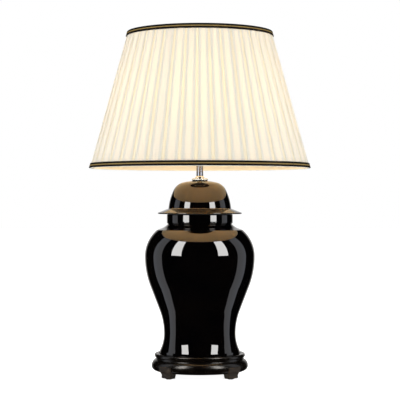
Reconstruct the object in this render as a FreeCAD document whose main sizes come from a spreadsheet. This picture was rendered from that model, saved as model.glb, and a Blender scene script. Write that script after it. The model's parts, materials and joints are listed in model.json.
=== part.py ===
import FreeCAD, Part
import Sketcher
import math
import os
import re

# Table lamp: a black glazed temple jar on a turned wooden stand, a push-bar lampholder on a
# nickel stem, and a pleated empire shade that rests on a wire carrier.
# Everything is in millimetres, +Z up, with the origin on the table under the lamp's axis.

V = FreeCAD.Vector
QUARTERS = {"front_left": 225, "front_right": 315, "rear_right": 45, "rear_left": 135}

SIZES = {
    # wooden stand and feet
    "stand_under": (11.5, "underside of the stand"),
    "stand_top": (46.6, "top of the stand's lip"),
    "bead_r": (99.6, "widest radius of the half-round bead"),
    "bead_z": (21.0, "height of the bead's widest line"),
    "bead_under_r": (90.0, "where the bead meets the underside"),
    "cove_r": (91.2, "radius at the bottom of the cove"),
    "cove_z": (35.0, "height where bead and cove meet"),
    "lip_r": (93.3, "radius of the lip over the cove"),
    "lip_round": (3.0, "rounding of the lip's top edge"),
    "recess_r": (84.2, "radius of the recess the jar stands in"),
    "recess_floor": (43.0, "height of the recess floor"),
    "nut_recess_r": (26.0, "recess for the nut under the stand"),
    "nut_recess_top": (25.0, "ceiling of that recess"),
    "pad_thick": (1.5, "felt pad under each foot"),
    "pad_r": (6.2, "radius of each felt pad"),
    "foot_top": (25.5, "top of the foot in its housing"),
    "foot_back": (82.0, "radius of the foot's inner face"),
    "foot_knee": (100.4, "radius of the foot's knee"),
    "foot_ankle": (94.0, "radius of the foot's ankle"),
    "foot_toe": (96.4, "radius of the foot's toe"),
    "knee_half": (16.4, "half width of the knee"),
    "ankle_half": (12.2, "half width of the ankle"),
    "toe_half": (13.0, "half width of the toe"),
    "knee_z": (14.5, "height where the knee starts"),
    "ankle_z": (7.5, "height of the ankle"),
    "toe_z": (4.0, "height of the toe's flat edge"),
    "foot_hole": (88.5, "radius of the foot screws' circle"),
    "screw_head_r": (3.4, "foot screw head"),
    "screw_head_z": (8.5, "underside of the foot screw's head seat"),
    "screw_shank_r": (1.75, "foot screw shank"),
    "screw_tip": (36.0, "tip of the foot screw"),
    # cord inlet
    "inlet_z": (18.5, "height of the cord inlet"),
    "inlet_depth": (80.0, "how far from the axis the grommet starts"),
    "inlet_face": (95.0, "flat seat of the grommet's flange"),
    "inlet_bore": (3.2, "radius of the grommet's bore"),
    "inlet_sleeve": (5.0, "outer radius of the grommet's sleeve"),
    "inlet_flange": (7.2, "radius of the grommet's flange"),
    "flange_thick": (2.6, "thickness of the grommet's flange"),
    "cord_way": (3.6, "radius of the cord's way through the wood"),
    # rod and its fastening
    "rod_r": (5.0, "radius of the hollow threaded rod"),
    "rod_bore": (3.75, "bore of the rod"),
    "rod_low": (15.0, "lower end of the rod"),
    "rod_high": (446.0, "upper end of the rod"),
    "rod_hole": (5.6, "hole for the rod in wood and glaze"),
    "rod_fit": (0.1, "clearance of the pieces that sit close on the rod"),
    "nut_flats": (17.0, "nut across flats"),
    "nut_low": (16.8, "underside of the nut"),
    "nut_high": (22.3, "top of the nut"),
    "washer_low": (23.5, "underside of the broad washer"),
    "washer_r": (15.0, "radius of the broad washer"),
    # jar
    "glaze_wall": (5.6, "wall of the jar and its lid"),
    "jar_low": (44.0, "underside of the jar's foot ring"),
    "jar_foot_r": (82.6, "radius of the jar's foot"),
    "jar_foot_z": (51.8, "height of the straight foot"),
    "foot_ring": (72.0, "inner radius of the foot ring"),
    "jar_floor": (50.0, "underside of the jar's bottom"),
    "waist_r": (74.1, "radius of the waist"),
    "waist_z": (87.0, "height of the waist"),
    "flank": (21.0, "lean of the straight flank, degrees"),
    "belly_r": (113.6, "radius of the belly"),
    "belly_z": (246.0, "height of the belly"),
    "belly_round": (172.0, "radius of the curve under the belly"),
    "waist_round": (133.0, "radius of the curve over the waist"),
    "shoulder_round": (72.4, "radius of the shoulder's curve"),
    "shoulder": (48.8, "angle that the shoulder turns through, degrees"),
    "throat_r": (65.6, "radius of the groove under the neck"),
    "throat_z": (313.0, "height of that groove"),
    "throat_round": (34.0, "hollow between shoulder and neck"),
    "neck_r": (68.2, "radius of the neck"),
    "neck_edge": (2.6, "rounding of the neck's lower edge"),
    "neck_top": (332.5, "top of the neck"),
    "ledge_out": (14.5, "ledge at the shoulder's end, outside the groove"),
    "ledge_drop": (9.8, "drop from the groove to that ledge"),
    "neck_arris": (1.5, "rounding of the neck's top edge"),
    "foot_arris": (2.0, "rounding of the foot ring's lower edge"),
    # lid
    "lid_under": (333.3, "underside of the lid's brim"),
    "brim_r": (87.2, "radius of the brim"),
    "brim_edge": (2.9, "thickness of the brim's edge"),
    "brim_root": (343.6, "height where brim and dome meet"),
    "dome_r": (64.7, "radius of the dome above the brim"),
    "dome_z": (345.4, "height where the dome's side starts"),
    "dome_low": (5.4, "lean of the dome's side at the bottom, degrees"),
    "dome_mid": (26.6, "lean of the dome's side at the top, degrees"),
    "dome_high": (79.0, "lean where the crown starts, degrees"),
    "side_round": (106.0, "curve of the dome's side"),
    "corner_round": (29.5, "curve between side and crown"),
    "cap_seat": (401.4, "flat on the crown under the cap"),
    "cap_seat_r": (16.0, "radius of that flat"),
    "spigot_r": (59.6, "outer radius of the lid's locating ring"),
    "spigot_low": (321.0, "lower edge of the locating ring"),
    # cap and stem
    "gasket": (0.8, "thickness of the rubber and felt washers"),
    "cap_r": (17.7, "radius of the nickel cap"),
    "cap_low": (402.2, "underside of the cap"),
    "cap_high": (407.0, "top of the cap"),
    "bead_count": (30, "flutes around the cap's rim"),
    "flute_r": (0.95, "radius of each flute"),
    "cone_r": (10.2, "radius at the foot of the stem's cone"),
    "cone_high": (411.5, "top of the cone"),
    "stem_r": (7.0, "radius of the stem"),
    "stem_bore": (5.3, "bore of the stem"),
    "stem_high": (437.0, "top of the stem"),
    # lampholder
    "holder_r": (19.5, "radius of the lampholder"),
    "holder_split": (455.0, "joint between its cap and its body"),
    "holder_top": (498.0, "top of the threaded sleeve"),
    "holder_wall": (1.3, "wall of the holder's cap"),
    "sleeve_r": (19.9, "radius over the sleeve's thread"),
    "sleeve_bore": (16.6, "bore of the holder's body"),
    "seat_r": (23.5, "radius of the seat for the shade carrier"),
    "seat_low": (471.0, "underside of that seat"),
    "seat_high": (473.0, "top of that seat"),
    "block_r": (16.3, "radius of the switch block"),
    "block_low": (451.0, "underside of the switch block"),
    "block_high": (466.0, "top of the switch block"),
    "porcelain_high": (471.5, "top of the porcelain disc"),
    "shell_bore": (13.5, "bore of the screw shell"),
    "shell_wall": (0.8, "wall of the screw shell"),
    "shell_high": (496.0, "top of the screw shell"),
    "contact_high": (473.0, "top of the centre contact"),
    "terminal_r": (2.2, "radius of a terminal screw's head"),
    "terminal_out": (9.0, "distance of a terminal screw from the axis"),
    "bar_z": (460.0, "height of the switch's push bar"),
    "bar_r": (3.0, "radius of the push bar"),
    "bar_hole": (3.35, "hole for the push bar"),
    "bar_half": (23.0, "from the bar's middle to each button"),
    "button_r": (4.6, "radius of a button"),
    "button_long": (7.0, "length of a button"),
    "button_dome": (1.6, "height of a button's rounded end"),
    "bar_travel": (5.0, "travel of the push bar"),
    "ring_r": (29.0, "radius of the threaded shade ring"),
    "ring_bore": (20.2, "bore of the shade ring"),
    "ring_low": (475.1, "underside of the shade ring"),
    "ring_high": (482.0, "top of the shade ring"),
    "grip_count": (24, "grip notches round the shade ring"),
    # bulb
    "bulb_tip": (473.3, "tip of the bulb's contact"),
    "tip_r": (4.0, "radius of the bulb's contact"),
    "bulb_seal_low": (475.0, "underside of the bulb's black insulator"),
    "bulb_cap_low": (478.5, "lower edge of the bulb's cap"),
    "bulb_cap_high": (501.0, "upper edge of the bulb's cap"),
    "bulb_cap_r": (13.15, "radius of the bulb's cap"),
    "bulb_neck": (12.8, "radius of the glass at the cap"),
    "bulb_r": (30.0, "radius of the bulb's globe"),
    "bulb_z": (549.0, "height of the globe's centre"),
    "bulb_glass_wall": (0.9, "thickness of the bulb's glass"),
    # wire carrier
    "plate_low": (473.3, "underside of the carrier's plate"),
    "plate_high": (474.8, "top of the carrier's plate"),
    "plate_bore": (20.4, "bore of the carrier's plate"),
    "plate_r": (35.5, "radius of the carrier's plate"),
    "leg_count": (4, "legs of the carrier"),
    "leg_r": (1.5, "radius of the carrier's wire legs"),
    "leg_foot": (32.6, "distance of a leg from the axis at the plate"),
    "leg_knee": (486.0, "height where a leg leans out"),
    "leg_round": (30.0, "radius of a leg's bend"),
    "leg_lean": (7.9, "lean of a leg, degrees"),
    "hoop_r": (60.0, "radius of the carrier's top hoop"),
    "hoop_z": (681.0, "height of the carrier's top hoop"),
    "hoop_wire": (1.75, "radius of the hoop's wire"),
    # shade
    "shade_low": (427.0, "lower edge of the shade"),
    "shade_high": (708.6, "upper edge of the shade's cloth"),
    "shade_low_r": (226.8, "cloth radius at the lower edge"),
    "shade_high_r": (148.2, "cloth radius at the upper edge"),
    "cloth_thick": (1.0, "thickness of the pleated cloth"),
    "lining_thick": (0.7, "thickness of the lining"),
    "wire_r": (1.6, "radius of the shade's rings"),
    "strut_r": (1.2, "radius of the shade's struts"),
    "strut_count": (8, "struts of the shade's frame"),
    "ring_inset": (3.0, "distance of the rings from the cloth's edges"),
    "trim_wide": (10.2, "width of the striped trims"),
    "trim_thick": (1.8, "thickness of the trims"),
    "trim_lift": (0.9, "cloth that shows below the lower trim"),
    "seat_ring_bore": (56.0, "bore of the shade's dropped ring"),
    "seat_ring_r": (64.5, "radius of the shade's dropped ring"),
    "seat_ring_z": (683.1, "underside of the dropped ring's flat"),
    "seat_ring_thick": (1.5, "thickness of the dropped ring"),
    "seat_ring_skirt": (678.5, "lower edge of its skirt"),
    "arm_count": (3, "arms of the shade's spider"),
    "arm_r": (1.5, "radius of the arms' wire"),
    "arm_round": (20.0, "radius of an arm's bend"),
    "arm_lean": (13.9, "rise of an arm, degrees"),
    "arm_gap": (0.4, "gap between an arm's end and the upper ring"),
    "lining_gap": (0.8, "gap between the lining's edge and the arms"),
    "lining_inset": (0.6, "distance of the lining from the cloth's lower edge"),
}

doc = FreeCAD.newDocument("table_lamp")
sheet = doc.addObject("Spreadsheet::Sheet", "Size")


def fill_sheet():
    """One row for each driving size: its name, its value and what it is."""
    for row, (alias, (number, meaning)) in enumerate(SIZES.items(), 1):
        sheet.set(f"A{row}", alias)
        sheet.set(f"B{row}", str(number))
        sheet.set(f"C{row}", meaning)
        sheet.setAlias(f"B{row}", alias)
    doc.recompute()


def sized(words):
    """The same formula with each size's name pointing at the sheet."""
    return re.sub(r"[a-z_]+", lambda m: "Size." + m[0] if m[0] in SIZES else m[0], str(words))


def value(words):
    return float(sheet.evalExpression(str(words)))


def bind(item, **formulas):
    """Ties an object's properties to formulas; two underscores stand for a dot."""
    for name, words in formulas.items():
        item.setExpression(name.replace("__", "."), sized(words))


def arc_between(start, end, radius):
    """The arc from start to end that swells to the right of the way; a negative radius hollows it."""
    chord = end - start
    half = chord.Length / 2
    reach = math.sqrt(max(radius * radius - half * half, 0))
    left = V(-chord.y, chord.x, 0).normalize()
    centre = start + chord * 0.5 + left * math.copysign(reach, radius)
    first, last = (start, end) if radius > 0 else (end, start)
    angles = [math.atan2(p.y - centre.y, p.x - centre.x) for p in (first, last)]
    return Part.ArcOfCircle(Part.Circle(centre, V(0, 0, 1), abs(radius)), *angles)


def fix(sketch, kind, geometry, vertex, words):
    """Dimensions a vertex from the sketch's origin; one on an axis is held to that axis."""
    number = value(words)
    if abs(number) < 1e-9:
        axis = -2 if kind == "DistanceX" else -1
        sketch.addConstraint(Sketcher.Constraint("PointOnObject", geometry, vertex, axis))
        return
    index = sketch.addConstraint(Sketcher.Constraint(kind, -1, 1, geometry, vertex, number))
    sketch.setExpression(f"Constraints[{index}]", sized(words))


def new_sketch(body, name, plane):
    sketch = body.newObject("Sketcher::SketchObject", name)
    flat = next(item for item in body.Origin.OriginFeatures if item.Role == plane)
    sketch.AttachmentSupport = [(flat, "")]
    sketch.MapMode = "FlatFace"
    return sketch


def draw_outline(sketch, steps):
    """A closed outline. A step is (across, up) for a straight run to that point, or
    (across, up, radius) for an arc to it."""
    points = [V(value(step[0]), value(step[1]), 0) for step in steps]
    ends = []
    for number, step in enumerate(steps):
        start, end = points[number - 1], points[number]
        if len(step) == 2:
            edge = sketch.addGeometry(Part.LineSegment(start, end))
            ends.append((edge, 1, 2))
            continue
        radius = value(step[2])
        edge = sketch.addGeometry(arc_between(start, end, radius))
        ends.append((edge, 1, 2) if radius > 0 else (edge, 2, 1))
        index = sketch.addConstraint(Sketcher.Constraint("Radius", edge, abs(radius)))
        sketch.setExpression(f"Constraints[{index}]", sized(f"abs({step[2]})"))
    for number, step in enumerate(steps):
        edge, _, finish = ends[number]
        following, begin, _ = ends[(number + 1) % len(ends)]
        sketch.addConstraint(Sketcher.Constraint("Coincident", edge, finish, following, begin))
        fix(sketch, "DistanceX", edge, finish, step[0])
        fix(sketch, "DistanceY", edge, finish, step[1])


def draw_circle(sketch, across, up, radius):
    circle = Part.Circle(V(value(across), value(up), 0), V(0, 0, 1), value(radius))
    edge = sketch.addGeometry(circle)
    fix(sketch, "DistanceX", edge, 3, across)
    fix(sketch, "DistanceY", edge, 3, up)
    index = sketch.addConstraint(Sketcher.Constraint("Radius", edge, value(radius)))
    sketch.setExpression(f"Constraints[{index}]", sized(radius))


def turned(name, steps):
    """A piece turned about its own Z axis from a half outline of (radius, height)."""
    body = doc.addObject("PartDesign::Body", name)
    sketch = new_sketch(body, name + "_outline", "XZ_Plane")
    draw_outline(sketch, steps)
    turn = body.newObject("PartDesign::Revolution", name + "_turned")
    turn.Profile = sketch
    turn.ReferenceAxis = (sketch, ["V_Axis"])
    turn.Angle = 360
    doc.recompute()
    return body


def tube(name, inner, outer, low, high):
    return turned(name, [(inner, low), (outer, low), (outer, high), (inner, high)])


def pocket(body, name, plane, shapes, reverse=False, depth=None):
    """Cuts the drawn shapes out of the body, right through or to a depth."""
    before = body.Shape.Volume
    sketch = new_sketch(body, name + "_sketch", plane)
    for draw, *details in shapes:
        draw(sketch, *details)
    cut = body.newObject("PartDesign::Pocket", name)
    cut.Profile = sketch
    cut.Reversed = reverse
    if depth:
        bind(cut, Length=depth)
    else:
        cut.Type = "ThroughAll"
        cut.Midplane = True
    doc.recompute()
    if body.Shape.Volume > before - 0.01:
        raise ValueError(f"{name} cuts nothing")
    return cut


def repeat(body, feature, count):
    """Repeats a feature evenly round the body's Z axis."""
    pattern = body.newObject("PartDesign::PolarPattern", feature.Name + "_round")
    pattern.Originals = [feature]
    pattern.Axis = (feature.Profile[0], ["N_Axis"])
    pattern.Angle = 360
    bind(pattern, Occurrences=count)
    body.Tip = pattern
    doc.recompute()


def gather(name, pieces):
    """Several separate solids under one name."""
    group = doc.addObject("Part::Compound", name)
    group.Links = pieces
    return group


def cut_with(name, base, tools):
    """The base with each tool's own shape taken out of it."""
    if len(tools) > 1:
        tool = doc.addObject("Part::MultiFuse", name + "_cutters")
        tool.Shapes = tools
    else:
        tool = tools[0]
    cut = doc.addObject("Part::Cut", name)
    cut.Base = base
    cut.Tool = tool
    return cut


def place(item, angle=0, x=0, y=0, z=0, axis=V(0, 0, 1)):
    item.Placement = FreeCAD.Placement(V(x, y, z), FreeCAD.Rotation(axis, angle))
    return item


def cylinder(name, radius, length, **where):
    item = doc.addObject("Part::Cylinder", name)
    bind(item, Radius=radius, Height=length)
    return place(item, **where)


def bend(point, radius, lean_from, lean_to):
    """Where an arc ends that goes up from point; a lean is off the vertical, towards the axis."""
    across, up = point
    return (f"{across} + ({radius})*(cos({lean_to}) - cos({lean_from}))",
            f"{up} + ({radius})*(sin({lean_to}) - sin({lean_from}))")


def swell(drop, rise):
    """Radius of the arc that starts upright and comes in by drop over a height of rise."""
    return f"(({drop})^2 + ({rise})^2) / (2*({drop}))"


# ---- stand, feet and what fastens them ----

def foot(name, angle):
    """A bracket foot, sawn to one curve from the front and to another from the side."""
    body = doc.addObject("PartDesign::Body", name)
    front = new_sketch(body, name + "_front", "XZ_Plane")
    rise = "knee_z - ankle_z"
    hollow = "-" + swell("knee_half - ankle_half", rise)
    draw_outline(front, [
        ("toe_half", "pad_thick"), ("toe_half", "toe_z"), ("ankle_half", "ankle_z"),
        ("knee_half", "knee_z", hollow), ("knee_half", "foot_top"),
        ("-knee_half", "foot_top"), ("-knee_half", "knee_z"),
        ("-ankle_half", "ankle_z", hollow), ("-toe_half", "toe_z"), ("-toe_half", "pad_thick")])
    block = body.newObject("PartDesign::Pad", name + "_block")
    block.Profile = front
    block.Reversed = True
    bind(block, Length="foot_knee")
    doc.recompute()
    side = [("0", "0"), ("foot_back", "0"), ("foot_back", "2*foot_top"), ("0", "2*foot_top")]
    pocket(body, name + "_back", "YZ_Plane", [(draw_outline, side)])
    front_curve = [
        ("foot_toe", "0"), ("2*foot_toe", "0"), ("2*foot_toe", "knee_z"), ("foot_knee", "knee_z"),
        ("foot_ankle", "ankle_z", swell("foot_knee - foot_ankle", rise)), ("foot_toe", "toe_z")]
    pocket(body, name + "_shin", "YZ_Plane", [(draw_outline, front_curve)])
    hole = (draw_circle, "0", "foot_hole", "screw_shank_r")
    pocket(body, name + "_hole", "XY_Plane", [hole])
    head = (draw_circle, "0", "foot_hole", "screw_head_r")
    pocket(body, name + "_sink", "XY_Plane", [head], reverse=True, depth="screw_head_z")
    return place(body, angle - 90)


def foot_screw(name, angle):
    """A round-headed wood screw with a tapered point, driven up through a foot."""
    point = "2*screw_shank_r"
    body = turned(name, [
        ("0", "screw_head_z - screw_shank_r"),
        ("screw_head_r", "screw_head_z", "screw_head_r*1.25"),
        ("screw_shank_r", "screw_head_z"), ("screw_shank_r", f"screw_tip - {point}"),
        ("0", "screw_tip")])
    out = value("foot_hole")
    turn = math.radians(angle)
    return place(body, 0, out * math.cos(turn), out * math.sin(turn))


def felt_pad(name, angle):
    body = tube(name, "0", "pad_r", "0", "pad_thick")
    out = value("foot_hole")
    turn = math.radians(angle)
    return place(body, 0, out * math.cos(turn), out * math.sin(turn))


def cord_grommet():
    """A sleeve with a flange, let into the back of the stand."""
    length = "inlet_face - inlet_depth"
    mouth = "(inlet_flange - inlet_bore)/2 + inlet_bore"
    body = turned("cord_grommet", [
        ("inlet_bore", "0"), ("inlet_sleeve", "0"), ("inlet_sleeve", length),
        ("inlet_flange", length), (mouth, f"{length} + flange_thick", "flange_thick*1.2"),
        ("inlet_bore", f"{length} + flange_thick")])
    return place(body, -90, 0, value("inlet_depth"), value("inlet_z"), V(1, 0, 0))


def wood_stand(cutters):
    """Turned stand: bead, cove and lip, with a recess for the jar and one for the nut."""
    blank = turned("stand_blank", [
        ("0", "stand_under"), ("bead_under_r", "stand_under"),
        ("bead_r", "bead_z", "(bead_r - bead_under_r)*1.01"),
        ("cove_r", "cove_z", swell("bead_r - cove_r", "cove_z - bead_z")),
        ("lip_r", "stand_top - 2*lip_round", "-(lip_r - cove_r)*1.9"),
        ("lip_r", "stand_top - lip_round"),
        ("lip_r - lip_round", "stand_top", "lip_round"),
        ("recess_r", "stand_top"), ("recess_r - 0.6", "recess_floor"), ("0", "recess_floor")])
    pocket(blank, "rod_way", "XY_Plane", [(draw_circle, "0", "0", "rod_hole")])
    pocket(blank, "nut_recess", "XY_Plane", [(draw_circle, "0", "0", "nut_recess_r")],
           reverse=True, depth="nut_recess_top")
    height = value("inlet_z")
    cutters = cutters + [
        cylinder("cord_way_cutter", "cord_way", "inlet_face",
                 angle=-90, z=height, axis=V(1, 0, 0)),
        cylinder("sleeve_cutter", "inlet_sleeve", "inlet_face - inlet_depth",
                 angle=-90, y=value("inlet_depth"), z=height, axis=V(1, 0, 0)),
        cylinder("flange_cutter", "inlet_flange + 0.4", "flange_thick*4",
                 angle=-90, y=value("inlet_face"), z=height, axis=V(1, 0, 0))]
    return cut_with("wood_stand", blank, cutters)


def rod_nut():
    body = doc.addObject("PartDesign::Body", "rod_nut")
    sketch = new_sketch(body, "nut_outline", "XY_Plane")
    corner = "nut_flats/sqrt(3)"
    corners = [(f"{corner}*cos({60 * i})", f"{corner}*sin({60 * i})") for i in range(6)]
    draw_outline(sketch, corners)
    draw_circle(sketch, "0", "0", "rod_r")
    pad = body.newObject("PartDesign::Pad", "nut_pad")
    pad.Profile = sketch
    bind(pad, Length="nut_high - nut_low")
    bind(body, Placement__Base__z="nut_low")
    return body


def base_pieces():
    feet = [foot("foot_" + side, angle) for side, angle in QUARTERS.items()]
    screws = [foot_screw("foot_screw_" + side, angle) for side, angle in QUARTERS.items()]
    pads = [felt_pad("felt_pad_" + side, angle) for side, angle in QUARTERS.items()]
    stand = wood_stand(feet + screws)
    cover = "stand_under - gasket"
    return [stand, *feet, *pads, gather("foot_screws", screws), cord_grommet(), rod_nut(),
            tube("underside_felt", "0", "nut_recess_r + 8", cover, "stand_under"),
            tube("threaded_rod", "rod_bore", "rod_r", "rod_low", "rod_high"),
            tube("lock_washer", "rod_r + 0.2", "rod_r*1.8", "nut_high", "washer_low"),
            tube("broad_washer", "rod_r + 0.4", "washer_r", "washer_low", "nut_recess_top"),
            tube("jar_felt", "foot_ring - 6", "jar_foot_r - 1", "recess_floor", "jar_low")]


# ---- jar, lid and stem ----

def jar_side(inset):
    """The jar's side from foot to shoulder, as a surface that lies inset inside the glaze."""
    waist = f"waist_r - {inset}"
    foot_round = swell("jar_foot_r - waist_r", "waist_z - jar_foot_z")
    belly = f"belly_r - {inset}"
    return [
        (f"jar_foot_r - {inset}", "jar_foot_z"),
        (waist, "waist_z", f"-({foot_round} + {inset})"),
        (f"{waist} + (waist_round + {inset})*(1 - cos(flank))",
         f"waist_z + (waist_round + {inset})*sin(flank)", f"-(waist_round + {inset})"),
        (f"{belly} - (belly_round - {inset})*(1 - cos(flank))",
         f"belly_z - (belly_round - {inset})*sin(flank)"),
        (belly, "belly_z", f"belly_round - {inset}"),
        (f"{belly} - (shoulder_round - {inset})*(1 - cos(shoulder))",
         f"belly_z + (shoulder_round - {inset})*sin(shoulder)", f"shoulder_round - {inset}")]


def jar_body():
    outside = jar_side("0")
    inside = jar_side("glaze_wall")
    inside_back = []
    for number, step in enumerate(reversed(inside)):
        radius = inside[-number][2:] if number else ()
        inside_back.append(step[:2] + tuple(f"-({words})" for words in radius))
    neck_bore = "neck_r - glaze_wall"
    ledge = ("throat_r + ledge_out", "throat_z - ledge_drop")
    return turned("jar_body", [
        ("rod_hole", "jar_floor"), ("foot_ring", "jar_floor"), ("foot_ring + 1", "jar_low"),
        ("jar_foot_r - foot_arris", "jar_low"), ("jar_foot_r", "jar_low + foot_arris", "foot_arris"),
        *outside, ledge, ("throat_r", "throat_z", "-throat_round"),
        ("neck_r", "throat_z + neck_edge", "neck_edge*1.05"), ("neck_r", "neck_top - neck_arris"),
        ("neck_r - neck_arris", "neck_top", "neck_arris"), (neck_bore, "neck_top"),
        (neck_bore, "throat_z"),
        *inside_back, ("rod_hole", "jar_foot_z + 4")])


def lid_side(inset):
    """The dome from brim to crown, as a surface that lies inset inside the glaze."""
    start = (f"dome_r - {inset}*cos(dome_low)", f"dome_z - {inset}*sin(dome_low)")
    side_radius = f"side_round - {inset}"
    corner_radius = f"corner_round - {inset}"
    middle = bend(start, side_radius, "dome_low", "dome_mid")
    top = bend(middle, corner_radius, "dome_mid", "dome_high")
    return start, middle, top, side_radius, corner_radius


def jar_lid():
    start, middle, top, side_radius, corner_radius = lid_side("0")
    low, between, high, side_within, corner_within = lid_side("glaze_wall")
    spigot_bore = "spigot_r - glaze_wall"
    return turned("jar_lid", [
        ("rod_hole", "cap_seat - glaze_wall"),
        (high[0], high[1]), (*between, f"-({corner_within})"), (*low, f"-({side_within})"),
        (spigot_bore, "lid_under"), (spigot_bore, "spigot_low"), ("spigot_r", "spigot_low"),
        ("spigot_r", "lid_under"), ("brim_r - brim_edge/2", "lid_under"),
        ("brim_r - brim_edge/2", "lid_under + brim_edge", "brim_edge/2*1.02"),
        (f"{start[0]} + 2", "brim_root"), (*start, "-2.4"),
        (*middle, side_radius), (*top, corner_radius), ("cap_seat_r", "cap_seat", "190"),
        ("rod_hole", "cap_seat")])


def nickel_cap():
    """The polished cap over the lid, with a fluted rim."""
    middle = "(cap_low + cap_high)/2 - 0.4"
    body = turned("nickel_cap", [
        ("rod_r + rod_fit", "cap_low"), ("cap_r - 1.6", "cap_low"), ("cap_r", middle, "2.3"),
        ("cap_r - 1.4", "cap_high - 1", "2.0"), ("cone_r + 0.6", "cap_high", "14"),
        ("rod_r + rod_fit", "cap_high")])
    flute = pocket(body, "cap_flute", "XY_Plane", [(draw_circle, "cap_r + 0.35", "0", "flute_r")])
    repeat(body, flute, "bead_count")
    return body


def stem_cone():
    return turned("stem_cone", [
        ("rod_r + rod_fit", "cap_high"), ("cone_r", "cap_high"), ("cone_r", "cap_high + 0.8"),
        ("stem_r + 0.4", "cone_high", "-9"), ("rod_r + rod_fit", "cone_high")])


def stem_pieces():
    return [jar_body(), jar_lid(), nickel_cap(), stem_cone(),
            tube("lid_felt", "neck_r - glaze_wall + 0.6", "neck_r - 1.6", "neck_top", "lid_under"),
            tube("cap_washer", "rod_r + 0.4", "cap_seat_r - 1", "cap_seat", "cap_low"),
            tube("stem_tube", "stem_bore", "stem_r", "cone_high", "stem_high")]


# ---- lampholder, switch and bulb ----

def holder_cap():
    """Spun cup that screws on to the rod and closes the holder from below."""
    neck = "stem_r + 2"
    dome = "8"
    return turned("holder_cap", [
        ("rod_r + rod_fit", "stem_high"), (neck, "stem_high"), (neck, "stem_high + 4"),
        ("holder_r", "holder_split - 4", "14"), ("holder_r", "holder_split"),
        ("holder_r - holder_wall", "holder_split"), ("holder_r - holder_wall", "holder_split - 3.4"),
        (dome, "stem_high + 6", "-13"), ("rod_r + rod_fit", "stem_high + 6")])


def push_bar_hole(name):
    """A cutter right through the holder, along X."""
    return cylinder(name, "bar_hole", "4*holder_r", angle=90, x=-2 * value("holder_r"),
                    z=value("bar_z"), axis=V(0, 1, 0))


def holder_body():
    """Threaded sleeve with the seat that the shade carrier rests on."""
    blank = turned("holder_blank", [
        ("sleeve_bore", "holder_split"), ("holder_r", "holder_split"), ("holder_r", "seat_low"),
        ("seat_r", "seat_low"), ("seat_r", "seat_high"), ("sleeve_r", "seat_high"),
        ("sleeve_r", "holder_top - 1"), ("sleeve_r - 1", "holder_top"),
        ("sleeve_bore", "holder_top")])
    return cut_with("holder_body", blank, [push_bar_hole("body_bar_hole")])


def terminal_screws():
    screws = []
    for name, side in (("live_terminal", -1), ("neutral_terminal", 1)):
        screw = turned(name, [
            ("0", "block_low - 1.8"), ("terminal_r", "block_low - 1.8"),
            ("terminal_r", "block_low"), ("terminal_r - 0.9", "block_low"),
            ("terminal_r - 0.9", "block_low + 3"), ("0", "block_low + 3")])
        screws.append(place(screw, y=side * value("terminal_out")))
    return gather("terminal_screws", screws)


def switch_block(screws):
    blank = tube("switch_block_blank", "0", "block_r", "block_low", "block_high")
    return cut_with("switch_block", blank, [push_bar_hole("block_bar_hole"), screws])


def switch_bar():
    """Push-through bar: a rod with a round button on each end, drawn at its left stop."""
    end = "bar_half + button_long"
    dome = swell("button_dome", "button_r")
    body = turned("switch_bar", [
        ("0", f"-({end})"), ("button_r", f"button_dome - ({end})", dome),
        ("button_r", "-bar_half"), ("bar_r", "-bar_half"), ("bar_r", "bar_half"),
        ("button_r", "bar_half"), ("button_r", f"{end} - button_dome"), ("0", end, dome)])
    return place(body, 90, -value("bar_travel") / 2, 0, value("bar_z"), V(0, 1, 0))


def holder_ring():
    """Threaded ring that holds the carrier down, notched for the fingers."""
    body = turned("holder_ring", [
        ("ring_bore", "ring_low"), ("ring_r", "ring_low"), ("ring_r", "ring_low + 2"),
        ("ring_r - 4", "ring_low + 3"), ("ring_r - 4", "ring_high - 1"),
        ("ring_r - 5", "ring_high"), ("ring_bore", "ring_high")])
    notch = pocket(body, "grip_notch", "XY_Plane", [(draw_circle, "ring_r + 0.6", "0", "1.2")])
    repeat(body, notch, "grip_count")
    return body


def bulb_glass():
    """Pear-shaped envelope: a globe that runs into its neck through one hollow curve."""
    drop = "(bulb_z - bulb_cap_high)"
    hollow = f"(bulb_neck^2 + {drop}^2 - bulb_r^2) / (2*(bulb_r - bulb_neck))"

    def side(inset):
        globe = f"(bulb_r - {inset})"
        share = f"{globe} / (bulb_r + {hollow})"
        return (f"(bulb_neck + {hollow})*{share}", f"bulb_z - {drop}*{share}"), globe

    outer, globe = side("0")
    inner, globe_within = side("bulb_glass_wall")
    return turned("bulb_glass", [
        ("bulb_neck - bulb_glass_wall", "bulb_cap_high", f"{hollow} + bulb_glass_wall"),
        ("bulb_neck", "bulb_cap_high"), (*outer, f"-({hollow})"), ("bulb_r", "bulb_z", globe),
        ("0", "bulb_z + bulb_r", globe),
        ("0", "bulb_z + bulb_r - bulb_glass_wall"),
        ("bulb_r - bulb_glass_wall", "bulb_z", f"-{globe_within}"),
        (*inner, f"-{globe_within}")])


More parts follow.
